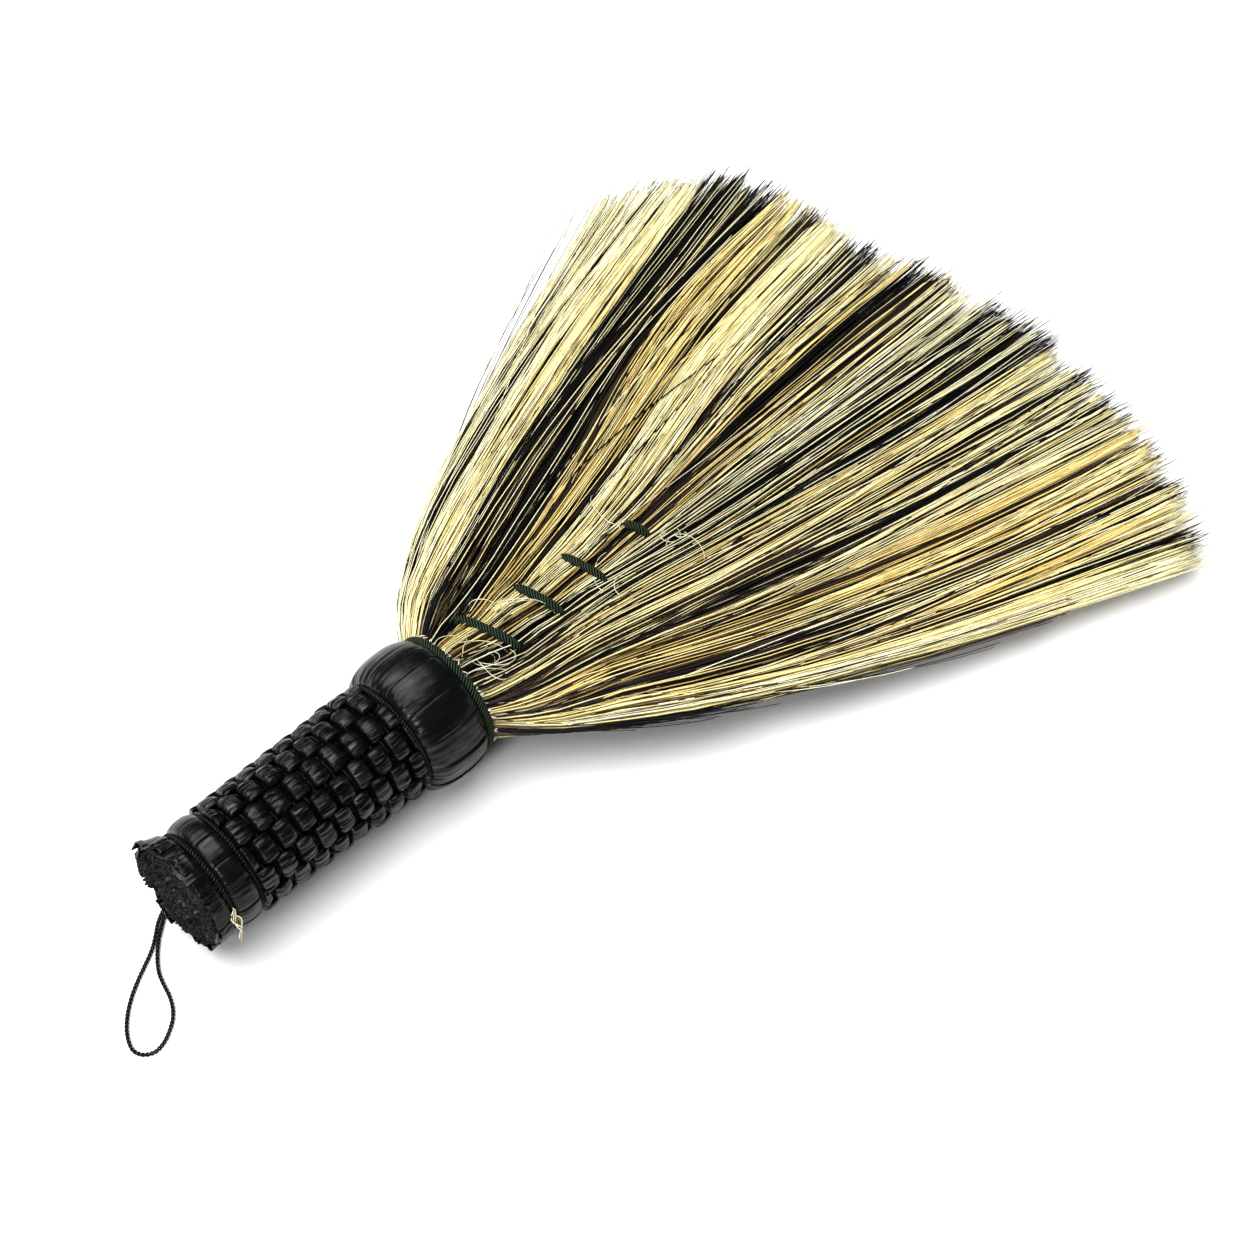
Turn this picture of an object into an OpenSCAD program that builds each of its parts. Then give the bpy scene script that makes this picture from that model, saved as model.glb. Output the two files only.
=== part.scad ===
// Fan-shaped hand broom with a plaited handle, lying on its side of the fan.
// +X runs along the handle towards the fan, +Z is up, and the origin is at the
// middle of the footprint, on the surface that the broom lies on. Millimetres.

/* [Handle] */
// Length of the cut stub behind the lower collar
stub_len = 8; // [5:0.5:14]
// Diameter over the cut stub
stub_d = 38.4; // [34:0.2:42]
// Length of the lower collar
lower_collar_len = 9; // [7:0.5:14]
// Diameter over the lower collar
lower_collar_d = 38.4; // [34:0.2:40]
// Length of the plaited grip
grip_len = 66; // [50:1:90]
// Diameter over the plaiting, near the lower collar
grip_d = 39.6; // [38:0.2:44]
// How much wider the plaiting is at the upper collar
grip_flare = 2.4; // [0:0.2:4]
// Length of the padded upper collar
upper_collar_len = 22.5; // [16:0.5:30]
// Diameter over the padded upper collar
upper_collar_d = 49; // [46:0.5:56]
// Diameter of the collar's edge round the mouth
mouth_d = 44.6; // [43.4:0.2:46]

/* [Plaiting] */
// Thickness of a leaf strip
strip_t = 1.2; // [0.8:0.1:1.4]
// Turns of the weft cord along the grip
weft_turns = 17; // [12:1:20]
// Diameter of the weft cord
weft_d = 1.5; // [1:0.1:1.6]
// Turn of the first seam between strips, from straight up
seam_turn = 26.9; // [0:0.1:27.6]

/* [Fan] */
// Length of the fan's middle fibres beyond the mouth
fan_len = 284; // [220:2:340]
// Direction of the fan's corner, seen from the mouth
corner_angle = 32.7; // [26:0.1:38]
// How much shorter the corner fibres are than the middle ones
corner_drop = 12; // [0:1:30]
// How far the left shoulder of the fan stands out
shoulder = 15; // [0:1:20]
// Turn of the fan against the handle, as hand tied
fan_turn = 3.3; // [0:0.1:5]
// Radius of the fibre bundle where it leaves the mouth
bundle_r = 18.3; // [17:0.1:18.6]
// Half the thickness of the fan at its tips
tip_half = 5.2; // [4:0.2:7]
// How far the tied spine lies to the left of the fan's middle line
spine_lean = 1.8; // [0:0.1:3]

/* [Cords] */
// Diameter of the green braid round the mouth and the spine
tie_d = 3; // [2:0.2:3.4]
// Diameter of the thin cords laid in the handle's creases
crease_d = 1.4; // [1:0.1:2]
// Diameter of the twisted hanging cord
loop_d = 1.3; // [1:0.1:1.6]

/* [Hidden] */
$fn = 64;

// Stations along the handle, from the cut butt.
groove_x = stub_len - 0.9;
lower_x = stub_len;
grip_x = lower_x + lower_collar_len;
upper_x = grip_x + grip_len;
mouth_x = upper_x + upper_collar_len;

// Radii of the handle.
axis_z = upper_collar_d / 2;
stub_r = stub_d / 2;
lower_r = lower_collar_d / 2;
upper_r = upper_collar_d / 2;
mouth_r = mouth_d / 2;
core_r = 15.6;
crease_r = 17;
weft_sink = 1.9;
crest_to_valley = 2.6;

// The strips: an odd number, so that one cord weaves over and under in turn.
strips = 13;
strip_pitch = 360 / strips;
strip_gap = 0.7;
weave_in = grip_x + 1.4;
weave_out = upper_x - 1.4;
weft_pitch = (weave_out - weave_in) / weft_turns;
profile_step = weft_pitch / 4;

// The broom's place: butt and fan tips are equally far from the origin in X,
// and the fan's corners in Y.
reach = mouth_x + fan_len;
butt_x = -reach / 2;
handle_y = -13.4;
straw = "#d8c07a";
black = "#16161a";
leaf = "#1d1d1f";
green = "#1c2a20";

function smooth(t) = let (c = max(0, min(1, t))) c * c * (3 - 2 * c);
function mix(a, b, t) = a + (b - a) * t;

// ---- Handle ----

// Puts children that are drawn up the Z axis on the handle's axis.
module on_handle() {
    translate([butt_x, handle_y, axis_z])
        rotate([0, 90, 0])
            children();
}

// Radius over the plaiting's crests at station x.
function grip_r(x) = grip_d / 2 + grip_flare / 2 * smooth((x - grip_x) / grip_len);

// Height of a strip's wave, 1 on a crest and 0 where the weft crosses over it.
function wave(x, i) =
    let (turn = 180 * ((x - weave_in) / weft_pitch - i / strips + i))
    1 - pow((1 + cos(turn)) / 2, 2.5);

// Outer radius of strip i over the grip.
function woven_r(x, i) = grip_r(x) - crest_to_valley * (1 - wave(x, i));

// A rounded collar from x0 to x1: radius r0 at its start, peak in its middle, r1 at its end.
function collar_points(x0, x1, r0, peak, r1, steps) = [
    for (k = [0:steps])
        let (t = k / steps, foot = mix(r0, r1, t))
        [foot + (peak - foot) * pow(max(0, 1 - pow(abs(2 * t - 1), 2.6)), 0.6), mix(x0, x1, t)]
];

// Outer outline of strip i as [radius, station], from butt to mouth.
function strip_outline(i) = concat(
    [[stub_r, 0], [stub_r - 0.3, groove_x - 2], [crease_r, groove_x - 0.6], [crease_r, groove_x + 0.6]],
    collar_points(lower_x, grip_x, crease_r, lower_r, crease_r, 10),
    [[crease_r, grip_x + 0.8]],
    [for (x = [weave_in:profile_step:weave_out + 0.01]) [woven_r(x, i), x]],
    [[grip_r(upper_x) - crest_to_valley, upper_x - 0.6]],
    collar_points(upper_x, mouth_x, grip_r(upper_x) - 1.4, upper_r, mouth_r - 0.4, 14)
);

// One leaf strip: the outline, one strip thickness deep, swept over its share of the turn.
module strip(i) {
    outer = strip_outline(i);
    inner = [for (k = [len(outer) - 1:-1:0]) [outer[k][0] - strip_t, outer[k][1]]];
    color(leaf)
        on_handle()
            rotate([0, 0, 180 - seam_turn - strip_pitch * (i + 1) + strip_gap / 2])
                rotate_extrude(angle = strip_pitch - strip_gap)
                    polygon(concat(outer, inner));
}

// The stalk ends of the fibres, bound into one core.
module handle_core() {
    color("#22262a")
        on_handle()
            cylinder(r = core_r, h = mouth_x - 9);
}

// Ring of padding under a collar: fills the space between the core and the strips.
module collar_pad(x0, x1, r0, peak, r1, steps, bore0, bore1) {
    outer = [
        for (p = collar_points(x0, x1, r0, peak, r1, steps))
            [p[0] - strip_t - 0.05, min(max(p[1], x0 + 0.3), x1 - 0.3)]
    ];
    color("#3a352c")
        on_handle()
            rotate_extrude()
                polygon(concat(outer, [[bore1, x1 - 0.3], [bore0, x1 - 9], [bore0, x0 + 0.3]]));
}

module lower_collar_pad() {
    collar_pad(lower_x, grip_x, crease_r + 0.2, lower_r, crease_r + 0.2, 10, core_r + 0.05, core_r + 0.05);
}

module upper_collar_pad() {
    collar_pad(upper_x, mouth_x, grip_r(upper_x) - 1.4, upper_r, mouth_r - 0.4, 14,
               core_r + 0.05, bundle_r + 0.2);
}

// A closed ring of cord round the handle at station x.
module ring_cord(x, r, d, shade) {
    color(shade)
        on_handle()
            translate([0, 0, x])
                rotate_extrude()
                    translate([r, 0])
                        circle(d = d, $fn = 24);
}

module stub_cord() {
    ring_cord(groove_x, crease_r + crease_d / 2, crease_d, black);
}

module lower_crease_cord() {
    ring_cord(grip_x + 0.1, crease_r + crease_d / 2, crease_d, black);
}

module upper_crease_cord() {
    ring_cord(upper_x - 0.3, grip_r(upper_x) - crest_to_valley + crease_d / 2 + 1.1, crease_d, black);
}

module mouth_cord() {
    ring_cord(mouth_x + tie_d / 2 - 0.2, bundle_r + 0.6 + tie_d / 2, tie_d, green);
}

// Sweeps a closed section ring by ring: rings[k] is a list of points, all of one length.
module skin(rings) {
    sides = len(rings[0]);
    last = len(rings) - 1;
    points = [for (ring = rings) for (p = ring) p];
    walls = [
        for (k = [0:last - 1]) for (j = [0:sides - 1])
            let (a = k * sides + j, b = k * sides + (j + 1) % sides)
            each [[a, b, b + sides], [a, b + sides, a + sides]]
    ];
    ends = [[for (j = [sides - 1:-1:0]) j], [for (j = [0:sides - 1]) last * sides + j]];
    polyhedron(points, concat(walls, ends));
}

// Rings of a round cord of diameter d and the given sides along a route of points.
function cord_rings(route, d, sides) = [
    for (k = [0:len(route) - 1])
        let (
            ahead = route[min(k + 1, len(route) - 1)],
            behind = route[max(k - 1, 0)],
            along = (ahead - behind) / norm(ahead - behind),
            flat = cross([0, 0, 1], along),
            side = flat / norm(flat),
            rise = cross(along, side)
        )
        [for (j = [0:sides - 1]) route[k] + d / 2 * (cos(360 * j / sides) * side + sin(360 * j / sides) * rise)]
];

// The one weft cord, spiralling up the grip: over a strip where the strip dips, under its crests.
module weft_cord() {
    per_turn = 13;
    total = weft_turns * per_turn;
    sides = 6;
    rings = [
        for (k = [0:total])
            let (
                x = weave_in + k * weft_pitch / per_turn,
                turn = seam_turn + strip_pitch * 0.5 + 360 * k / per_turn,
                r = grip_r(x) - weft_sink
            )
            [
                for (j = [0:sides - 1])
                    let (rr = r + weft_d / 2 * cos(360 * j / sides))
                    [x + weft_d / 2 * sin(360 * j / sides), rr * sin(turn), rr * cos(turn)]
            ]
    ];
    color(black)
        translate([butt_x, handle_y, axis_z])
            skin(rings);
}

// ---- Fan ----
// A place in the fan is given by its share w of the fan, from -1 at the right edge to
// 1 at the left, and by t, from 0 at the mouth to 1 at the tips.

mouth_spread = 50;
tip_spread = 22.6;
root_pull = 70;
tip_pull = 100;
root_inset = 8.7;
spine_w = 0.055;
hurds_a_side = 5;
seam_clear = 0.15;

function heading(a) = [cos(a), sin(a)];
function tip_reach(w) =
    fan_len - corner_drop * pow(abs(w), 4) + shoulder * exp(-pow((w - 0.6) / 0.22, 2));
function bezier(a, b, c, d, t) =
    pow(1 - t, 3) * a + 3 * t * pow(1 - t, 2) * b + 3 * t * t * (1 - t) * c + pow(t, 3) * d;

// [along, across] of the fibre at share w.
function fibre(w, t) =
    let (
        root = [0, bundle_r * w],
        tip = tip_reach(w) * heading(corner_angle * w)
    )
    bezier(root, root + root_pull * heading(mouth_spread * w),
           tip - tip_pull * heading(tip_spread * w), tip, t);

// Half the spine's width, where the ties draw it in.
spine_widths = [[0, 11.5], [23, 13.8], [47, 11.2], [69, 10.4], [96, 5.4], [104, 4.2], [116, 0]];
tie_stations = [23, 47, 69, 96];
// How far each tie is turned, its right end towards the tips.
tie_turns = [13, 8, 7, 11];
function spine_half(s) = lookup(s, spine_widths);
function lean(s) = spine_lean * smooth(s / 20) * (1 - smooth((s - 60) / 120));

// [along, across] at share w, with the side hurds parted by the spine.
function parted(w, t) =
    let (
        p = fibre(w, t),
        own = fibre(spine_w, t),
        push = max(0, spine_half(p[0]) - own[1]),
        drift = lean(p[0]) * (1 - abs(w))
    )
    abs(w) < spine_w
        ? [p[0], p[1] + push * w / spine_w + drift]
        : [p[0], p[1] + sign(w) * push * (1 - abs(w)) / (1 - spine_w) + drift];

// Half the fan's thickness and the height of its middle layer, s beyond the mouth.
function fan_half(s) = tip_half + (bundle_r - tip_half) * exp(-max(0, s) / 38);
function edge_half(s, w) =
    fan_half(s) * sqrt(max(0.02, 1 - pow(min(1, abs(w)), 2 + 6 * smooth(s / 80))));
function fan_z(s) = tip_half + (axis_z - tip_half) * pow(max(0, 1 - s / fan_len), 1.15);

// From the fan's own [along, across, height] to the broom's frame.
function in_fan(p) = [
    butt_x + mouth_x + p[0] * cos(fan_turn) - p[1] * sin(fan_turn),
    handle_y + p[0] * sin(fan_turn) + p[1] * cos(fan_turn),
    p[2]
];

// Section of a hurd between two places on the fan's plane, rounded at its corners.
hurd_sides = 16;
function hurd_ring(a, b, wa, wb) = [
    for (j = [0:hurd_sides - 1])
        let (
            c = cos(360 * (j + 0.5) / hurd_sides),
            s = sin(360 * (j + 0.5) / hurd_sides),
            share = (1 + sign(c) * sqrt(abs(c))) / 2,
            p = mix(a, b, share),
            lift = sign(s) * sqrt(abs(s)) * edge_half(p[0], mix(wa, wb, share))
        )
        in_fan([p[0], p[1], fan_z(p[0]) + lift])
];

// A bundle of fibres from share wa to share wb, with clear_a and clear_b free beside it
// as far as the last tie.
module hurd(wa, wb, clear_a, clear_b, shade) {
    stations = [0, 0.02, 0.05, 0.09, 0.14, 0.2, 0.27, 0.35, 0.45, 0.56, 0.7, 0.85, 1];
    root_a = [-root_inset, core_r * wa + seam_clear];
    root_b = [-root_inset, core_r * wb - seam_clear];
    rings = concat(
        [hurd_ring(root_a, root_b, wa, wb)],
        [
            for (t = stations)
                let (
                    a = parted(wa, t),
                    b = parted(wb, t),
                    near = 1 - smooth((a[0] - 100) / 25),
                    open = smooth((a[0] - 4) / 10)
                )
                hurd_ring(
                    a + [0, seam_clear + clear_a * near * open],
                    b - [0, seam_clear + clear_b * near * open], wa, wb)
        ]
    );
    color(shade)
        skin(rings);
}

function hurd_edge(i) = spine_w + (1 - spine_w) * i / hurds_a_side;
module left_hurd(i, shade) {
    hurd(hurd_edge(i - 1), hurd_edge(i), i == 1 ? tie_d / 2 : 0, 0, shade);
}
module right_hurd(i, shade) {
    hurd(-hurd_edge(i), -hurd_edge(i - 1), 0, i == 1 ? tie_d / 2 : 0, shade);
}
module spine_hurd() {
    hurd(-spine_w, spine_w, tie_d / 2, tie_d / 2, straw);
}

// A flattened loop of braid round the spine, k-th from the mouth.
module spine_tie(k) {
    s = tie_stations[k - 1];
    wide = spine_half(s) - tie_d / 2;
    tall = fan_half(s) + 0.3;
    thick = tie_d - 1;
    steps = 40;
    round_in = 0.6;
    function rim(grow) = [
        for (j = [0:steps - 1])
            let (c = cos(360 * j / steps), q = sin(360 * j / steps))
            [
                sign(c) * pow(abs(c), round_in) * (tall + grow),
                sign(q) * pow(abs(q), round_in) * (wide + grow)
            ]
    ];
    color(green)
        translate(in_fan([s, lean(s), fan_z(s)]))
            rotate([0, 0, fan_turn + tie_turns[k - 1]])
                rotate([0, 90, 0])
                    translate([0, 0, -tie_d / 2])
                        linear_extrude(tie_d)
                            difference() {
                                polygon(rim(thick));
                                polygon(rim(0));
                            }
}

// ---- Small trim ----

// A few natural straw ends that hang out of the groove beside the lower collar.
module straw_tuft() {
    straw_d = 0.7;
    droop = 50;
    // Turn round the handle and length of each straw.
    ends = [[78, 5.5], [83, 7], [88, 6]];
    color(straw)
        for (e = ends)
            translate([butt_x + groove_x, handle_y, axis_z])
                rotate([e[0], 0, 0])
                    translate([0, 0, crease_r + 0.2])
                        rotate([droop, -20, 0])
                            cylinder(d = straw_d, h = e[1], $fn = 16);
}

// Route of the hanging cord's centreline, from the stub's underside down to the surface,
// round the loop and back. X is measured from the butt, Y from the handle's axis.
low = loop_d / 2;
loop_route = [
    [7, 11, 9.5], [5.5, 12.5, 7], [3.5, 14, 4], [1, 14.6, 1.8],
    [-2, 13.8, low], [-5.5, 11.5, low], [-8.5, 8.7, low], [-11.5, 6, low],
    [-15, 3.6, low], [-18.5, 1.6, low], [-22, -0.5, low], [-25.5, -2.8, low],
    [-29, -5.6, low], [-32, -8.6, low], [-34.6, -12, low], [-36.4, -15.6, low],
    [-37, -19, low], [-35.6, -22, low], [-32.6, -23.6, low], [-29, -23, low],
    [-25.4, -21, low], [-22.2, -18.4, low], [-19.8, -15, low], [-18.2, -11, low],
    [-17.2, -7, low], [-16, -3.2, low], [-14, 0.4, low], [-11.6, 3.6, low],
    [-8.9, 6.6, low], [-5.8, 9.4, low], [-2.6, 12, low], [0, 12.8, 1.8],
    [2.2, 12.4, 4], [4.2, 11, 7], [5.6, 9.4, 9.3]
];
loop_sides = 8;

module hanging_loop() {
    color(black)
        translate([butt_x, handle_y, 0])
            skin(cord_rings(loop_route, loop_d, loop_sides));
}

handle_core();
lower_collar_pad();
upper_collar_pad();
strip(0);  // strip_01
strip(1);  // strip_02
strip(2);  // strip_03
strip(3);  // strip_04
strip(4);  // strip_05
strip(5);  // strip_06
strip(6);  // strip_07
strip(7);  // strip_08
strip(8);  // strip_09
strip(9);  // strip_10
strip(10);  // strip_11
strip(11);  // strip_12
strip(12);  // strip_13
stub_cord();
lower_crease_cord();
weft_cord();
upper_crease_cord();
mouth_cord();
spine_hurd();
left_hurd(1, black);  // left_hurd_1
left_hurd(2, straw);  // left_hurd_2
left_hurd(3, straw);  // left_hurd_3
left_hurd(4, black);  // left_hurd_4
left_hurd(5, straw);  // left_hurd_5
right_hurd(1, black);  // right_hurd_1
right_hurd(2, straw);  // right_hurd_2
right_hurd(3, straw);  // right_hurd_3
right_hurd(4, black);  // right_hurd_4
right_hurd(5, straw);  // right_hurd_5
spine_tie(1);  // spine_tie_1
spine_tie(2);  // spine_tie_2
spine_tie(3);  // spine_tie_3
spine_tie(4);  // spine_tie_4
straw_tuft();
hanging_loop();
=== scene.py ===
import math

import bpy
import numpy as np
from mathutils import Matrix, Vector


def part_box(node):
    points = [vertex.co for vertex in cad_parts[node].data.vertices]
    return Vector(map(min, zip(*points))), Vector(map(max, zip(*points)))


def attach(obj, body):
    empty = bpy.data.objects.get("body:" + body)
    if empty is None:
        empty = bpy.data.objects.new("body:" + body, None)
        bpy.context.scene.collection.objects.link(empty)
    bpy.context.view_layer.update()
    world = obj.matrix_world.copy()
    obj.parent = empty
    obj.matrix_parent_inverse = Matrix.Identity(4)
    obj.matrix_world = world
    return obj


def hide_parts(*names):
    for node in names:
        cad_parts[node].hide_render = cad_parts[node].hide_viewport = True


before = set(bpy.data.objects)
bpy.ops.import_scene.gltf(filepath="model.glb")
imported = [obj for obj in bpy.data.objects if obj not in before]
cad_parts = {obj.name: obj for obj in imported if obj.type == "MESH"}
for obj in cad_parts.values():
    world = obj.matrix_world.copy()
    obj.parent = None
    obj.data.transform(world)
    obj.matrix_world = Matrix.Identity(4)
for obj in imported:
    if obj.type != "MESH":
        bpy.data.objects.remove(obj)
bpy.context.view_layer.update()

# Looks of the fan-shaped hand broom. Lengths are millimetres until a mesh is made.
MM = 0.001
rng = np.random.default_rng(7)

# -------- places, from the frame


def box_mm(node):
    return np.array(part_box(node)) / MM


strip_low, strip_high = box_mm("strip_01")
braid_low, braid_high = box_mm("mouth_cord")
# The butt, and stations from it: the mouth, the ends of the grip, the groove by the stub,
# and the start of the lower collar.
BUTT_X = strip_low[0]
MOUTH_X = strip_high[0] - strip_low[0]
GRIP_X = box_mm("lower_crease_cord")[0][0] - BUTT_X + 0.7
UPPER_X = box_mm("upper_crease_cord")[1][0] - BUTT_X - 0.5
GROOVE_X = box_mm("stub_cord")[:, 0].mean() - BUTT_X
LOWER_X = GROOVE_X + 0.9
# The handle's axis.
AXIS_Y = (braid_low[1] + braid_high[1]) / 2
AXIS_Z = (braid_low[2] + braid_high[2]) / 2


def smooth(t):
    c = np.clip(t, 0, 1)
    return c * c * (3 - 2 * c)


def mix(a, b, t):
    return a + (b - a) * t


def through(knots, values, t):
    """A smooth curve through values (..., K) at the knots, read at every t."""
    knots, values, t = np.asarray(knots, float), np.asarray(values, float), np.asarray(t, float)
    steps = np.diff(knots)
    slopes = np.diff(values, axis=-1) / steps
    inner = (slopes[..., :-1] * steps[1:] + slopes[..., 1:] * steps[:-1]) / (steps[1:] + steps[:-1])
    tangents = np.concatenate([slopes[..., :1], inner, slopes[..., -1:]], -1)
    k = np.clip(np.searchsorted(knots, t, side="right") - 1, 0, len(knots) - 2)
    h = steps[k]
    q = np.clip((t - knots[k]) / h, 0, 1)
    q2, q3 = q * q, q * q * q
    return ((2 * q3 - 3 * q2 + 1) * values[..., k] + (q3 - 2 * q2 + q) * h * tangents[..., k]
            + (3 * q2 - 2 * q3) * values[..., k + 1] + (q3 - q2) * h * tangents[..., k + 1])


def unit(v):
    return v / np.maximum(np.linalg.norm(v, axis=-1, keepdims=True), 1e-9)


def vectors(*parts):
    """One vector for each point, from numbers and arrays that broadcast together."""
    return np.stack(np.broadcast_arrays(*parts), -1)


def add_object(name, data):
    thing = bpy.data.objects.new(name, data)
    bpy.context.scene.collection.objects.link(thing)
    return thing


# -------- meshes

UP = (0, 0, 1)
AHEAD = (1, 0, 0)
FIBRE_SIDES = 3
YARN_SIDES = 8


def swept_mesh(name, rings):
    """Closed tubes through rings (tubes, rings, sides, 3) in mm, with a face at each end."""
    tubes, count, sides, _ = rings.shape
    first = (np.arange(tubes) * count * sides)[:, None, None]
    k = (np.arange(count - 1) * sides)[None, :, None]
    j = np.arange(sides)
    a, b = first + k + j, first + k + (j + 1) % sides
    quads = np.stack([a, b, b + sides, a + sides], -1)
    foot = first[:, 0] + j[::-1]
    head = first[:, 0] + (count - 1) * sides + j
    loops = np.concatenate([quads.ravel(), foot.ravel(), head.ravel()])
    totals = np.repeat([4, sides], [quads.size // 4, 2 * tubes])
    mesh = bpy.data.meshes.new(name)
    mesh.vertices.add(tubes * count * sides)
    mesh.vertices.foreach_set("co", (rings.reshape(-1) * MM).astype(np.float32))
    mesh.loops.add(len(loops))
    mesh.loops.foreach_set("vertex_index", loops.astype(np.int32))
    mesh.polygons.add(len(totals))
    mesh.polygons.foreach_set("loop_start", (np.cumsum(totals) - totals).astype(np.int32))
    mesh.polygons.foreach_set("loop_total", totals.astype(np.int32))
    mesh.update(calc_edges=True)
    mesh.polygons.foreach_set("use_smooth", np.ones(len(totals), bool))
    return mesh


def loft(name, rings, slot, attributes, replaces=()):
    """A piece of swept sections in the look of its slot. attributes hold a value or a vector
    for each point, as (tubes, rings, sides) or (tubes, rings, sides, 3)."""
    mesh = swept_mesh(name, rings)
    for key, values in attributes.items():
        vector = values.ndim == 4
        layer = mesh.attributes.new(key, "FLOAT_VECTOR" if vector else "FLOAT", "POINT")
        layer.data.foreach_set("vector" if vector else "value", values.reshape(-1).astype(np.float32))
    mesh.materials.append(LOOKS[slot])
    piece = add_object(name, mesh)
    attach(piece, "root")
    if replaces:
        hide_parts(*replaces)
    return piece


def distance_along(lines):
    """Distance in mm from the first point to each point of lines (..., points, 3)."""
    steps = np.linalg.norm(np.diff(lines, axis=-2), axis=-1)
    return np.concatenate([np.zeros((*steps.shape[:-1], 1)), np.cumsum(steps, axis=-1)], -1)


def across_line(lines, reference):
    """Two unit vectors square to lines (..., points, 3), the first one also to reference."""
    along = unit(np.gradient(lines, axis=-2))
    side = unit(np.cross(reference, along))
    return side, np.cross(along, side)


def tube_rings(paths, radii):
    """Three-sided sections, a corner upwards, along paths (tubes, rings, 3)."""
    side, rise = across_line(paths, UP)
    angle = np.pi / 2 + 2 * np.pi * np.arange(FIBRE_SIDES) / FIBRE_SIDES
    around = np.cos(angle)[:, None] * side[..., None, :] + np.sin(angle)[:, None] * rise[..., None, :]
    return paths[..., None, :] + radii[..., None, None] * around


def evenly(line, step):
    """The same line (points, 3) with its points an even step apart, in mm."""
    run = distance_along(line)
    spots = np.linspace(0, run[-1], round(run[-1] / step))
    return np.stack([np.interp(spots, run, c) for c in line.T], -1)


def strand_paths(centre, strands, lay_r, pitch, reference):
    """Centrelines of the strands twisted round a centre line (points, 3)."""
    side, rise = across_line(centre, reference)
    angle = 2 * np.pi * (distance_along(centre) / pitch + np.arange(strands)[:, None] / strands)
    return centre + lay_r * (np.cos(angle)[..., None] * side + np.sin(angle)[..., None] * rise)


def rope(name, centre, lay, slot, node, reference=AHEAD):
    """A cord that stands for a CAD node. lay is how many strands it has, the radius they lie
    at, their own radius, and the length of a turn. The cord never runs along reference."""
    strands, lay_r, strand_r, pitch = lay
    paths = strand_paths(centre, strands, lay_r, pitch, reference)
    outward = unit(paths - centre)
    level = np.cross(unit(np.gradient(paths, axis=1)), outward)
    angle = 2 * np.pi * np.arange(YARN_SIDES)[:, None] / YARN_SIDES
    around = np.cos(angle) * outward[..., None, :] + np.sin(angle) * level[..., None, :]
    rings = paths[..., None, :] + strand_r * around
    own = np.arange(strands)[:, None, None] * 3.7
    yarn = vectors(distance_along(centre)[:, None], np.arange(YARN_SIDES) / YARN_SIDES, own)
    # crown is 1 on the outer side of each strand, where the cord's look paints light, and lower
    # toward the grooves, where it paints shade.
    crown = np.broadcast_to(np.cos(angle)[:, 0], rings.shape[:3])
    return loft(name, rings, slot, {"yarn": yarn, "crown": crown}, [node])


# -------- materials


class Nodes:
    """Short ways to add the nodes of one material."""

    def __init__(self, name):
        self.material = bpy.data.materials.new(name)
        self.material.use_nodes = True
        self.tree = self.material.node_tree
        self.shader = self.tree.nodes["Principled BSDF"]

    def feed(self, node, inputs):
        """Links or sets a node's inputs, which go by name or number."""
        for key, value in inputs.items():
            if isinstance(value, bpy.types.NodeSocket):
                self.tree.links.new(value, node.inputs[key])
            else:
                node.inputs[key].default_value = value

    def set(self, **inputs):
        """Feeds the shader's inputs, with _ for the spaces in their names."""
        self.feed(self.shader, {key.replace("_", " "): value for key, value in inputs.items()})

    def add(self, kind, output, inputs=None, **settings):
        """Adds a node with its settings and inputs, and gives one of its outputs."""
        node = self.tree.nodes.new("ShaderNode" + kind)
        for key, value in settings.items():
            setattr(node, key, value)
        self.feed(node, inputs or {})
        return node.outputs[output]

    def place(self):
        return self.add("TexCoord", "Object")

    def attribute(self, name, output="Fac"):
        return self.add("Attribute", output, attribute_name=name)

    def math(self, operation, a, b):
        return self.add("Math", 0, {0: a, 1: b}, operation=operation)

    def noise(self, vector, stretch, scale=1.0, detail=3.0, roughness=0.55):
        vector = self.add("VectorMath", 0, {0: vector, 1: stretch}, operation="MULTIPLY")
        return self.add("TexNoise", "Fac", {
            "Vector": vector, "Scale": scale, "Detail": detail, "Roughness": roughness})

    def ramp(self, fac, stops):
        node = self.tree.nodes.new("ShaderNodeValToRGB")
        self.feed(node, {"Fac": fac})
        spots = node.color_ramp.elements
        while len(spots) < len(stops):
            spots.new(0.5)
        for spot, (place, colour) in zip(spots, stops):
            spot.position = place
            spot.color = (*colour, 1)
        return node.outputs["Color"]

    def blend(self, fac, a, b):
        """Colour a changed to b by fac. Each is a colour or another node's output."""
        a, b = ((*c, 1) if isinstance(c, tuple) else c for c in (a, b))
        return self.add("Mix", 2, {"Factor": fac, 6: a, 7: b}, data_type="RGBA")

    def spread(self, value, low, high):
        return self.add("MapRange", "Result", {
            "Value": value, "To Min": low, "To Max": high})

    def bump(self, height, strength, distance_mm):
        self.set(Normal=self.add("Bump", "Normal", {
            "Height": height, "Strength": strength, "Distance": distance_mm * MM}))


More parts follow.
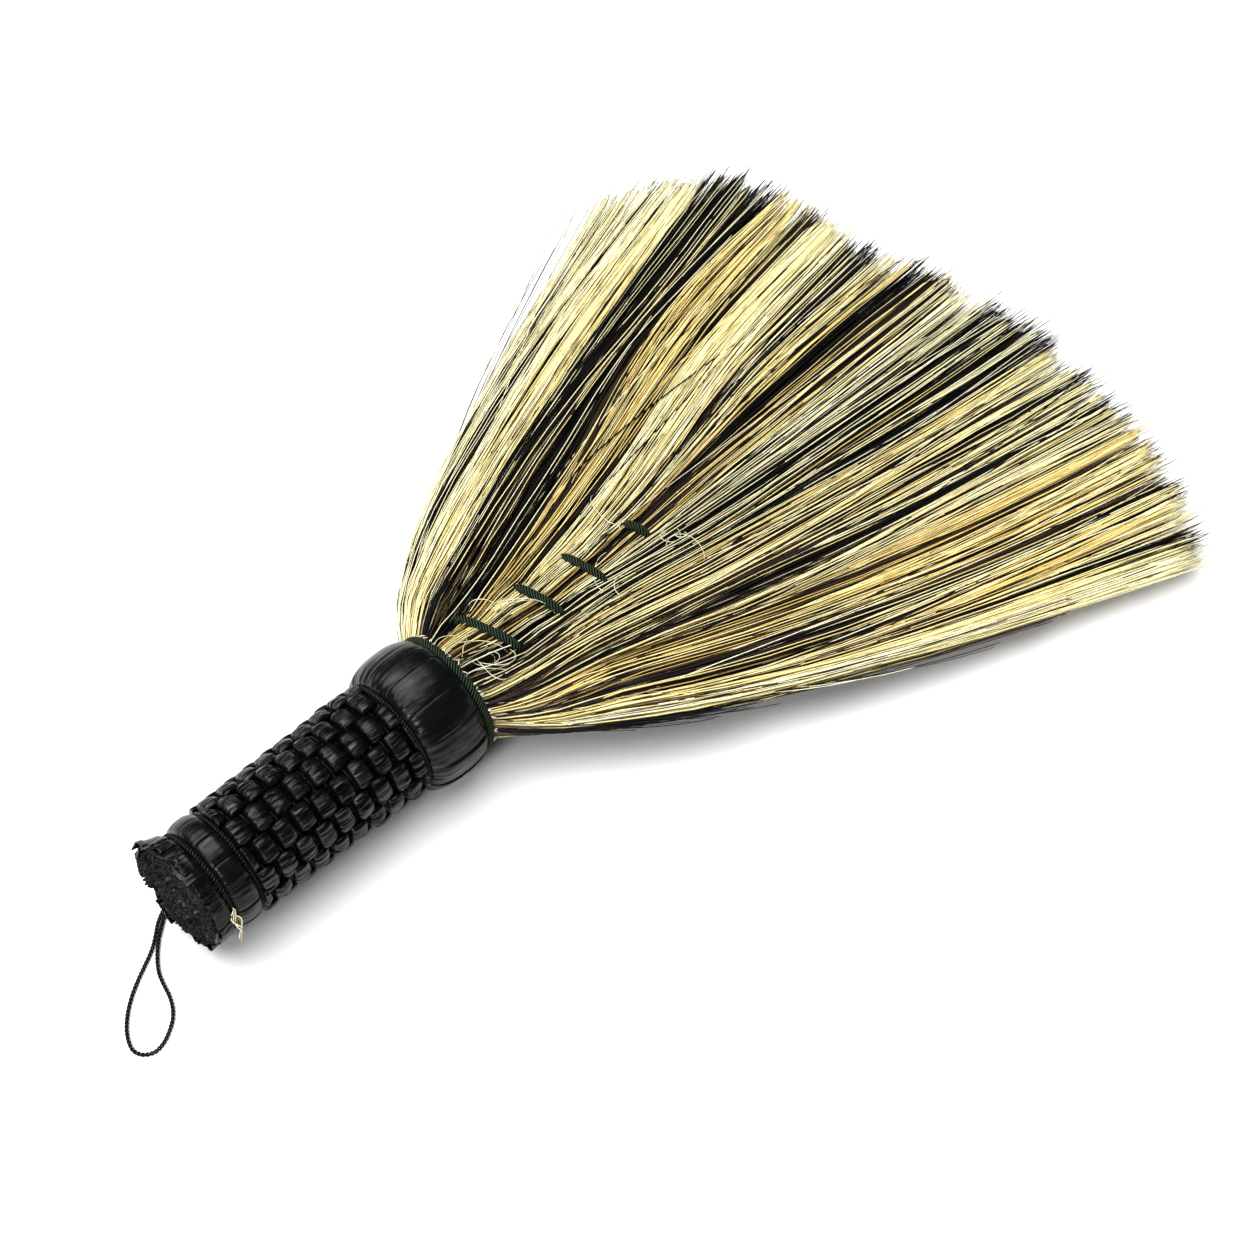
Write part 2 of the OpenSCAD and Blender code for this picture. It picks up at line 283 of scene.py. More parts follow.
def straw_material():
    """Natural fibre: pale, golden or orange by its tone, streaked along its length, with painted
    shade on its sides.
    """
    m = Nodes("straw_fibre")
    grain = m.attribute("grain", "Vector")
    streak = m.noise(grain, (0.05, 1, 1), 1.4)
    mottle = m.noise(grain, (0.012, 0.6, 1), 2.0, detail=2.0)
    nubs = m.noise(grain, (0.55, 0.8, 1), detail=2.0)
    base = m.ramp(m.attribute("tone"), [
        (0.0, (0.97, 0.95, 0.73)), (0.3, (0.95, 0.88, 0.50)), (0.55, (0.90, 0.74, 0.29)),
        (0.85, (0.79, 0.53, 0.13)), (1.0, (0.42, 0.23, 0.05))])
    base = m.blend(m.spread(mottle, 0.0, 0.3), base, (0.66, 0.64, 0.30))
    base = m.blend(m.spread(streak, 0.25, -0.1), base, (0.30, 0.20, 0.08))
    base = m.blend(m.spread(nubs, 0.9, -0.7), base, (0.24, 0.17, 0.07))
    # Painted shade: each straw is darkened on its sides, away from its top corner, as if shaded by
    # its neighbours.
    base = m.blend(m.spread(m.attribute("ridge"), 1.15, -0.50), base, (0.07, 0.048, 0.016))
    m.set(Base_Color=base, Roughness=m.spread(streak, 0.5, 0.3), Specular_IOR_Level=0.4)
    m.bump(nubs, 0.5, 0.12)
    return m.material


def dark_fibre_material():
    """Dyed fibre: near black, from a green cast to a purple one by its tone, and brown at the top of
    it, which under the straw bundles is painted shade of straw.
    """
    m = Nodes("black_fibre")
    grain = m.attribute("grain", "Vector")
    streak = m.noise(grain, (0.05, 1, 1), 1.4)
    base = m.ramp(m.attribute("tone"), [
        (0.0, (0.0022, 0.0034, 0.0026)), (0.45, (0.0040, 0.0036, 0.0046)),
        (0.7, (0.0080, 0.0058, 0.0090)), (1.0, (0.050, 0.030, 0.014))])
    base = m.blend(m.spread(streak, 0.2, -0.1), base, (0.035, 0.026, 0.018))
    m.set(Base_Color=base, Roughness=m.spread(streak, 0.5, 0.32), Specular_IOR_Level=0.12)
    m.bump(streak, 0.35, 0.08)
    return m.material


def leaf_material():
    """Black dyed leaf strip: fine ribs along it, satin, with faint green and violet patches. Its
    valleys, strip edges and inner face get painted shade, darker and less glossy.
    """
    m = Nodes("palm_leaf")
    leaf = m.attribute("leaf", "Vector")
    ribs = m.noise(leaf, (0.09, 1.5, 1), detail=1.5, roughness=0.5)
    fine = m.noise(leaf, (0.25, 3.2, 1), detail=2.0)
    sheen = m.noise(leaf, (0.16, 0.8, 1))
    patch = m.noise(leaf, (0.12, 0.2, 1), detail=2.0)
    tint = m.ramp(patch, [
        (0.30, (0.0012, 0.0022, 0.0016)), (0.5, (0.0016, 0.0018, 0.0018)),
        (0.62, (0.0018, 0.0020, 0.0030)), (0.75, (0.0050, 0.0034, 0.0024))])
    base = m.blend(m.spread(ribs, -0.3, 0.6), tint, (0.0036, 0.0038, 0.0034))
    # Painted shade: darker colour and less gloss in the valleys between bricks, along the strips'
    # edges and on their inner faces.
    cavity_shade = m.attribute("cavity_shade")
    base = m.blend(cavity_shade, base, (0.0008, 0.0008, 0.0008))
    rough = m.math("ADD", m.spread(fine, 0.17, 0.33), m.spread(patch, -0.05, 0.05))
    pleat = m.attribute("pleat")
    streaks = m.math("MULTIPLY", m.math("SUBTRACT", sheen, 0.5), m.spread(pleat, 0.35, 1.3))
    gloss = m.spread(m.math("ADD", streaks, 0.45), -0.40, 0.86)
    gloss = m.math("MULTIPLY", gloss, m.spread(cavity_shade, 1.0, 0.05))
    gloss = m.math("MULTIPLY", gloss, m.spread(patch, 0.3, 1.7))
    m.set(Base_Color=base, Roughness=rough, Specular_IOR_Level=gloss)
    pleats = m.math("MULTIPLY", ribs, pleat)
    m.bump(m.math("ADD", pleats, m.math("MULTIPLY", fine, 0.14)), 1.0, 0.40)
    return m.material


def stalk_material():
    """Cut stalk ends: rough, grey-green to black."""
    m = Nodes("core_fibre")
    pith = m.noise(m.place(), (1, 1, 1), 620.0, detail=4.0, roughness=0.75)
    base = m.ramp(m.attribute("shade"), [
        (0.0, (0.0008, 0.0012, 0.0011)), (0.45, (0.0028, 0.0040, 0.0036)),
        (0.75, (0.0110, 0.0150, 0.0138)), (1.0, (0.060, 0.072, 0.070))])
    base = m.blend(m.spread(pith, 1.6, -1.2), base, (0.0006, 0.0007, 0.0006))
    m.set(Base_Color=base, Roughness=m.spread(pith, 0.9, 0.55), Specular_IOR_Level=0.2)
    m.bump(pith, 0.9, 0.5)
    return m.material


def yarn_material(name, dark, light, rough):
    """Twisted or braided cord: fine fibres along each strand, with painted light on their crowns and
    painted shade between them.
    """
    m = Nodes(name)
    yarn = m.attribute("yarn", "Vector")
    fibres = m.noise(yarn, (1.6, 9.0, 1), roughness=0.6)
    worn = m.noise(yarn, (0.25, 1, 1), detail=2.0)
    # Painted light on each strand's crown, and painted shade in the grooves between strands.
    crown = m.math("MULTIPLY", m.spread(m.attribute("crown"), -8.0, 1.5), m.spread(fibres, 0.4, 1.3))
    base = m.blend(crown, dark, light)
    base = m.blend(m.spread(worn, 0.0, 0.35), base, tuple(0.5 * c for c in dark))
    rough = m.spread(fibres, rough + 0.1, rough - 0.15)
    m.set(Base_Color=base, Roughness=rough, Specular_IOR_Level=0.12)
    m.bump(fibres, 0.7, 0.15)
    return m.material


def padding_material():
    """Wound fibre padding under the collars."""
    m = Nodes("padding")
    wound = m.noise(m.place(), (900, 120, 120))
    base = m.ramp(wound, [(0.3, (0.03, 0.025, 0.018)), (0.7, (0.10, 0.085, 0.06))])
    m.set(Base_Color=base, Roughness=m.spread(wound, 0.95, 0.7))
    m.bump(wound, 0.8, 0.6)
    return m.material


# One material for each slot of the record that is shown.
LOOKS = {
    "straw_fibre": straw_material(),
    "black_fibre": dark_fibre_material(),
    "palm_leaf": leaf_material(),
    "core_fibre": stalk_material(),
    # Each cord gives its colour in painted shade between strands, its colour in painted light on
    # their crowns, and its roughness.
    "black_cord": yarn_material("black_cord", (0.0007, 0.0007, 0.0008), (0.045, 0.045, 0.046), 0.6),
    "green_braid": yarn_material("green_braid", (0.0004, 0.0012, 0.0005), (0.050, 0.092, 0.044), 0.7),
    "padding": padding_material(),
}

# -------- camera

# The camera stands behind the butt and to the right of it, and looks down along the broom.
EYE_FROM_BUTT = (-122.96, -314.3, 550.17)
# Degrees from +X toward +Y, and degrees below level.
HEADING = 45.22
LOOK_DOWN = 51.79
SENSOR = 36
LENS = 57.6


def make_camera():
    data = bpy.data.cameras.new("camera")
    data.sensor_width = SENSOR
    data.lens = LENS
    camera = add_object("camera", data)
    eye = np.array([BUTT_X, AXIS_Y, 0]) + EYE_FROM_BUTT
    camera.location = eye * MM
    camera.rotation_euler = (math.radians(90 - LOOK_DOWN), 0, math.radians(HEADING - 90))
    bpy.context.scene.camera = camera


make_camera()

# -------- hanging cord

LOOP_D = 1.3
LOOP_LAY = (2, 0.40, 0.31, 2.6)
LOOP_POINTS = 620
LOW = LOOP_D / 2
# The cord's route: X from the butt, Y from the handle's axis, Z from the surface.
LOOP_ROUTE = [
    (7, 11, 9.5), (5.5, 12.5, 7), (3.5, 14, 4), (1, 14.6, 1.8),
    (-2, 13.8, LOW), (-5.5, 11.5, LOW), (-8.5, 8.7, LOW), (-11.5, 6, LOW),
    (-15, 3.6, LOW), (-18.5, 1.6, LOW), (-22, -0.5, LOW), (-25.5, -2.8, LOW),
    (-29, -5.6, LOW), (-32, -8.6, LOW), (-34.6, -12, LOW), (-36.4, -15.6, LOW),
    (-37, -19, LOW), (-35.6, -22, LOW), (-32.6, -23.6, LOW), (-29, -23, LOW),
    (-25.4, -21, LOW), (-22.2, -18.4, LOW), (-19.8, -15, LOW), (-18.2, -11, LOW),
    (-17.2, -7, LOW), (-16, -3.2, LOW), (-14, 0.4, LOW), (-11.6, 3.6, LOW),
    (-8.9, 6.6, LOW), (-5.8, 9.4, LOW), (-2.6, 12, LOW), (0, 12.8, 1.8),
    (2.2, 12.4, 4), (4.2, 11, 7), (5.6, 9.4, 9.3)]


def hanging_cord():
    route = np.array(LOOP_ROUTE, float) + [BUTT_X, AXIS_Y, 0]
    last = len(route) - 1
    fine = through(np.arange(last + 1), route.T, np.linspace(0, last, LOOP_POINTS)).T
    piece = rope("hanging_cord", fine, LOOP_LAY, "black_cord", "hanging_loop", UP)


hanging_cord()

# -------- handle

STRIPS = 13
STRIP_PITCH = 360 / STRIPS
# Where the first strip starts, from straight up.
SEAM_TURN = 26.9
STUB_R = 19.2
GROOVE_R = 17.0
LOWER_R = 19.2
GRIP_R = 19.8
GRIP_FLARE = 1.2
UPPER_R = 24.4
MOUTH_R = 22.0
WEFT_TURNS = 17
WEFT_DEPTH = 3.0
WEAVE_IN = GRIP_X + 1.4
WEAVE_OUT = UPPER_X - 1.4
WEFT_PITCH = (WEAVE_OUT - WEAVE_IN) / WEFT_TURNS
# A brick is a strip's bulge over a weft turn; its peak is measured from -1 to 1 along it.
BRICK_RISE = 2.5
BRICK_PEAK = -0.28
# The strips whose seams on the upper collar are deep.
DEEP_SEAMS = (8, 11)
# How many of a strip's bricks have their own height, place and width.
BRICKS = 40
LEAF_T = 0.9
FLAP_T = 0.45
# What sets each leaf's grain apart: its radius across, and the steps from leaf to leaf.
LEAF_GRAIN_R = 20
LEAF_GRAIN_STEP = 11.3
FLAP_GRAIN, FLAP_GRAIN_STEP = 301.0, 9
BUTT_SLANT = 2.8
# Lays of the cords, in the order that rope() says.
GROOVE_LAY = (2, 0.40, 0.36, 2.2)
LOWER_CREASE_LAY = (2, 0.36, 0.34, 2.2)
UPPER_CREASE_LAY = (2, 0.38, 0.34, 2.2)
WEFT_LAY = (2, 0.32, 0.34, 3.0)
BRAID_LAY = (7, 1.20, 0.42, 8.0)
BRAID_STEP = 0.6


def on_handle(x, turn, r):
    """Points in the shared frame from stations, turns in degrees from straight up, and radii."""
    a = np.radians(turn)
    return vectors(BUTT_X + x, AXIS_Y + r * np.sin(a), AXIS_Z + r * np.cos(a))


def grip_r(x):
    return GRIP_R + GRIP_FLARE * smooth((x - GRIP_X) / (UPPER_X - GRIP_X))


def collar_r(x, x0, x1, r0, peak, r1):
    t = np.clip((x - x0) / (x1 - x0), 0, 1)
    foot = mix(r0, r1, t)
    return foot + (peak - foot) * np.maximum(0, 1 - np.abs(2 * t - 1) ** 2.6) ** 0.6


def weave_phase(x, i):
    """Odd whole numbers are the middles of strip i's bricks, and even ones its valleys."""
    return (x - WEAVE_IN) / WEFT_PITCH - i / STRIPS + i


def brick_at(x, i):
    return np.floor(weave_phase(x, i) / 2).astype(int) % BRICKS


def strip_height(x, i, lumps):
    """Radius over strip i's middle line at stations x, and how much of a valley each is in."""
    phase = weave_phase(x, i)
    q = phase - 2 * np.floor(phase / 2) - 1
    fore, aft = (BRICK_PEAK - q) / (BRICK_PEAK + 0.92), (q - BRICK_PEAK) / (0.97 - BRICK_PEAK)
    fall = np.where(q < BRICK_PEAK, np.clip(fore, 0, 1) ** 3.2, np.clip(aft, 0, 1) ** 2.6)
    pillow = np.maximum(0, 1 - fall) ** 0.58
    woven = grip_r(x) - BRICK_RISE * (1 - pillow) + lumps[brick_at(x, i)] * pillow
    weave = smooth((x - GRIP_X) / 1.2) * smooth((UPPER_X - x) / 1.2)
    stub = STUB_R - 0.5 * smooth((x - 2) / 4)
    lower = collar_r(x, LOWER_X - 0.3, GRIP_X, GROOVE_R, LOWER_R, GROOVE_R)
    upper = collar_r(x, UPPER_X, MOUTH_X + 1.5, grip_r(UPPER_X) - 1.6, UPPER_R, MOUTH_R - 2.6)
    groove = smooth((x - GROOVE_X + 1.8) / 1.2) * smooth((GROOVE_X + 1.4 - x) / 1.0)
    r = np.where(x < GROOVE_X + 0.6, stub, np.where(x < GRIP_X, lower, upper))
    r = mix(r, GROOVE_R, groove)
    on_grip = (x >= GRIP_X) & (x < UPPER_X)
    crease = np.where(x < (GRIP_X + UPPER_X) / 2, GROOVE_R, grip_r(x) - BRICK_RISE)
    r = np.where(on_grip, mix(crease, woven, weave), r)
    valley = np.where(on_grip, (1 - pillow) * weave, 0)
    return r, valley


def butt_reach(y, z):
    """How far the butt's slanting cut stands out at a place off the handle's axis."""
    return BUTT_SLANT * smooth(0.5 + 0.5 * (0.69 * y - 0.72 * z) / STUB_R)


def leaf_shell(name, outer, inner, looks, replaces=()):
    """A thin closed shell: round its outer points and back over its inner ones, which are
    (rings, across, 3). looks holds the outer and the inner values of each attribute."""
    faces = {"rings": (outer, inner), **looks}
    closed = {key: np.concatenate(pair, 1)[None, :, ::-1] for key, pair in faces.items()}
    loft(name, closed.pop("rings"), "palm_leaf", closed, replaces)


def strip_stations():
    """The sections of a strip, closest together over the weave."""
    return np.concatenate([
        np.arange(0, GROOVE_X + 1.4, 0.5), np.arange(GROOVE_X + 1.5, GRIP_X, 0.35),
        np.arange(GRIP_X, UPPER_X, 0.34), np.arange(UPPER_X, MOUTH_X - 3, 0.5),
        np.linspace(MOUTH_X - 3, MOUTH_X, 9)])


def strip_ribs(x, across):
    """Ribs and folds that run along a strip, each with its own slow change."""
    ribs = 0
    for size, folds in ((0.06, 2.2), (0.07, 4.1), (0.09, 6.3)):
        start, change = rng.uniform(0, 6.3), rng.normal(0, 0.05)
        ribs = ribs + size * np.sin(folds * 2.2 * across + start + change * x)
    return ribs


def strip_cut(across):
    """The uneven line of a strip's cut end."""
    cut = rng.normal(0, 0.45) + 0.35 * np.sin(across * rng.uniform(2, 5) + rng.uniform(0, 6))
    return cut + rng.normal(0, 0.16, len(across)) - 0.1


def leaf_strip(i):
    """One black leaf strip from the cut butt to the mouth, as a thin closed shell."""
    lumps = rng.normal(0, 0.16, BRICKS)
    skews = rng.normal(0, 0.035, BRICKS)
    widths = rng.normal(0, 0.02, BRICKS)
    stations = strip_stations()
    r, valley = strip_height(stations, i, lumps)
    brick = brick_at(stations, i)
    r, valley, skew, wide = (v[:, None] for v in (r, valley, skews[brick], widths[brick]))
    x = stations[:, None]
    across = np.linspace(-1, 1, 19)
    on_grip = smooth((x - GRIP_X) / 2) * smooth((UPPER_X - x) / 2)
    upper = smooth((x - UPPER_X) / 6) * (1 - smooth((x - MOUTH_X + 3.5) / 3.5))
    stub = 1 - smooth((x - GROOVE_X + 2.2) / 1.5)
    lower = smooth((x - LOWER_X) / 1.5) * smooth((GRIP_X - x) / 1.5)
    pleats = np.exp(-np.maximum(0, x - UPPER_X) / 2.6) * (x >= UPPER_X)

    # Half the strip's share of the turn: drawn in a little where the weft crosses it.
    half = 0.5 * STRIP_PITCH * (0.99 - 0.07 * valley + wide * on_grip + 0.04 * upper)
    middle = SEAM_TURN + STRIP_PITCH * (i + 0.5)
    turn = middle + STRIP_PITCH * (skew * on_grip) + across * half

    edge = np.abs(across) ** 9
    surface = r + strip_ribs(x, across) * (0.9 - 0.6 * upper + 1.1 * pleats - 0.5 * lower)
    surface = surface - on_grip * (0.35 * across**2 + 0.8 * edge)
    surface = surface - (0.08 * upper + 0.16 * lower) * edge
    lap = 0.5 if i in DEEP_SEAMS else rng.uniform(0.10, 0.2)
    surface = surface + lap * across * upper + 0.12 * across * lower
    corner = np.radians(0.5 * STRIP_PITCH)
    flat = 1 - np.cos(corner) / np.cos(corner * across)
    flare = rng.normal(0.1, 0.45) * smooth(1 - x / 6) + rng.normal(0, 0.3) * across * stub
    surface = surface + stub * (flare - flat * STUB_R * 0.9)

    a = np.radians(turn)
    longer = butt_reach(surface * np.sin(a), surface * np.cos(a))
    along = x + strip_cut(across) * smooth(1 - x / 3) - longer * smooth(1 - x / 7)

    # The inner face has every second point of the outer one, in the opposite order.
    back = slice(None, None, -2)
    outer = on_handle(along, turn, surface)
    inner = on_handle(along[:, back], turn[:, back], surface[:, back] - LEAF_T)
    grain = vectors(along, np.radians(turn - middle) * LEAF_GRAIN_R, LEAF_GRAIN_STEP * i)
    # Mask of painted shade: the valleys between bricks, the strip's edges, and its whole inner face.
    cavity_shade = smooth((valley - 0.3) / 0.5) + (0.7 * on_grip + 0.35 * upper + 0.5 * lower) * edge
    cavity_shade = np.clip(cavity_shade, 0, 1)
    pleat = 0.06 + 0.85 * on_grip + 0.16 * lower + 0.3 * pleats + 0 * turn
    node = f"strip_{i + 1:02d}"
    leaf_shell("leaf_" + node, outer, inner, {
        "leaf": (grain, grain[:, back]), "cavity_shade": (cavity_shade, 1 + 0 * cavity_shade[:, back]),
        "pleat": (pleat, pleat[:, back])}, [node])


def ring_line(x, r, points):
    """A closed line round the handle, from underneath."""
    return on_handle(x, np.linspace(180, 540, points), r)


def handle_cords():
    crease_r = GROOVE_R + 0.2
    upper_r = grip_r(UPPER_X) - BRICK_RISE + 1.2
    for name, x, r, points, lay in (
            ("stub", GROOVE_X, crease_r, 420, GROOVE_LAY),
            ("lower_crease", GRIP_X + 0.2, crease_r, 420, LOWER_CREASE_LAY),
            ("upper_crease", UPPER_X - 0.4, upper_r, 460, UPPER_CREASE_LAY)):
        rope(name + "_twist", ring_line(x, r, points), lay, "black_cord", name + "_cord")
    low, high = braid_low[0] - BUTT_X, braid_high[0] - BUTT_X
    mouth_r = (braid_high[1] - braid_low[1]) / 2 - (high - low) / 2
    line = evenly(ring_line((low + high) / 2 + 0.3, mouth_r + 0.3, 900), BRAID_STEP)
    rope("mouth_braid", line, BRAID_LAY, "green_braid", "mouth_cord")


def weft():
    per_turn = 40
    k = np.arange(WEFT_TURNS * per_turn + 1)
    x = WEAVE_IN + k * WEFT_PITCH / per_turn
    turn = SEAM_TURN + STRIP_PITCH * 0.5 + 360 * k / per_turn
    line = on_handle(x, turn, grip_r(x) - WEFT_DEPTH)
    rope("weft_twist", line, WEFT_LAY, "black_cord", "weft_cord")


def stalk_places():
    """Places of the cut stalks off the handle's axis: a loose grid, each row half a gap aside."""
    gap, reach = 1.12, 17.5
    rows = np.arange(-17, 18)
    spots = np.array([(c + 0.5 * (r % 2), r * 0.866) for r in rows for c in rows]) * gap
    spots = spots + rng.normal(0, 0.22, spots.shape)
    return spots[np.hypot(*spots.T) < reach]


def stalk_ends():
    """The rough face of the core: several hundred cut stalk ends of uneven height."""
    spots = stalk_places()
    count, sides = len(spots), 7
    y, z = spots.T[..., None, None]
    angle = 2 * np.pi * np.arange(sides) / sides
    ragged = rng.uniform(0.7, 1.25, (count, 1, sides))
    size = rng.uniform(0.40, 0.86, (count, 1, 1))
    oval = rng.uniform(0, 3.14, (count, 1, 1))
    broad = size * ragged * (1 + 0.35 * np.cos(2 * (angle - oval)))
    swell = 0.4 * np.sin(y * 0.35 + 1) + 0.35 * np.cos(z * 0.42)
    height = rng.normal(-0.1, 0.7, (count, 1, 1)) + swell
    # Each stalk's sections: inside the core, at the rim of its cut end, and on the end itself.
    depth, taper = np.array([(6.5, 0.4, 0.0), (1.0, 1.0, 0.72)])[..., None]
    slant = rng.normal(0, 0.35, (count, 1, 1)) * np.cos(angle - oval)
    x = depth - np.clip(height, -1.4, 0.7) - butt_reach(y, z) + slant * (depth < 1)
    rings = vectors(BUTT_X + x, AXIS_Y + y + broad * taper * np.cos(angle),
                    AXIS_Z + z + broad * taper * np.sin(angle))
    middle = 0.28 * np.exp(-((y + 2) ** 2 + (z - 1) ** 2) / 55)
    shade = np.clip(rng.normal(0.27 + middle, 0.27), 0, 1)
    loft("cut_stalk_ends", rings, "core_fibre", {"shade": np.broadcast_to(shade, rings.shape[:3])})


def stub_flap(number, middle, half, flare, overhang):
    """A loose leaf end over the stub: bent outwards, and torn where it ends."""
    x = np.append(np.linspace(-overhang, 0, 6)[:-1], np.linspace(0, GROOVE_X - 0.8, 14))[:, None]
    across = np.linspace(-1, 1, 25)
    lift = smooth(1 - (x + overhang) / (GROOVE_X + overhang))
    r = mix(STUB_R - 0.2, STUB_R + flare, lift**1.6) + 0.25 * lift * np.sin(3 * across + number)
    r = r - 0.5 * lift * across**2 - (STUB_R - GROOVE_R + 0.2) * smooth((x - GROOVE_X + 2.4) / 1.6)
    torn = np.interp(across, np.linspace(-1, 1, 12), rng.uniform(0, 1.9, 12))
    turn = middle + half * across * (1 + 0.1 * lift)
    a = np.radians(turn)
    longer = butt_reach(STUB_R * np.sin(a), STUB_R * np.cos(a))
    along = x + torn * smooth(1 - (x + overhang) / 3.5) - longer * smooth(1 - x / 7)
    outer = on_handle(along, turn, r)
    inner = on_handle(along[:, ::-1], turn[:, ::-1], r[:, ::-1] - FLAP_T)
    own = FLAP_GRAIN + FLAP_GRAIN_STEP * number
    grain = vectors(along, np.radians(turn - middle) * STUB_R, own)
    # The flaps get no painted shade.
    cavity_shade, pleat = np.zeros_like(turn), np.full_like(turn, 0.4)
    leaf_shell(f"stub_flap_{number}", outer, inner, {
        "leaf": (grain, grain[:, ::-1]), "cavity_shade": (cavity_shade, cavity_shade), "pleat": (pleat, pleat)})


def stub_flaps():
    """Turn, half the width in degrees, how far the end bends out, and how far it overhangs."""
    flaps = ((52, 13, 1.9, 1.1), (30, 15, 0.9, 0.7), (80, 11, 0.3, 0.3), (-8, 12, 0.5, 0.4),
             (-52, 14, 0.4, 0.3), (-96, 12, 0.6, 0.5), (150, 15, 0.4, 0.3))
    for number, flap in enumerate(flaps, 1):
        stub_flap(number, *flap)


def inner_looks():
    """The CAD's core and padding keep their shapes, and get their materials here."""
    for node, look in (("handle_core", "core_fibre"), ("lower_collar_pad", "padding"),
                       ("upper_collar_pad", "padding")):
        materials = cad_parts[node].data.materials
        materials.clear()
        materials.append(LOOKS[look])


for index in range(STRIPS):
    leaf_strip(index)
stub_flaps()
handle_cords()
weft()
stalk_ends()
inner_looks()

# -------- fan

FAN_LEN = 284
CORNER_ANGLE = 32.7
# How much shorter the fan is at its corners, and longer at its left shoulder.
CORNER_DROP = 12
SHOULDER = 15
# The whole fan is turned a little to the left of the handle.
FAN_TURN = math.radians(3.3)
BUNDLE_R = 18.3
# Half the fan's thickness at the tips.
TIP_HALF = 5.2
# Each fibre is a curve: how far it pulls straight on at its ends, and its spread there.
ROOT_PULL, TIP_PULL = 70, 100
MOUTH_SPREAD, TIP_SPREAD = 50, 22.6
# Where the ties are, from the mouth, and how far each is turned from straight across.
TIE_STATIONS = (23, 47, 69, 96)
TIE_TURNS = (13, 8, 7, 11)
TIE_INSIDE, TIE_ABOVE = 1.0, 1.9
SPINE_S = (0, 23, 47, 69, 96, 104, 116)
SPINE_HALF = (11.5, 13.8, 11.2, 10.4, 5.4, 4.2, 0)
SPINE_LEAN = 1.8
# Shares of the fan's half width at the tips that the spine and each hurd beside it take.
SPINE_SHARE = 0.055
HURD_SHARE = 0.189
HURDS = 5
# How far a fibre's root goes into the collar, and how much closer to the axis it is there.
ROOT_DEPTH = 9
ROOT_CLOSER = 0.84

# Stations of the bundle edges, from the mouth to the tips.
STATIONS = (0, 0.1, 0.2, 0.3, 0.4, 0.7, 1.0)
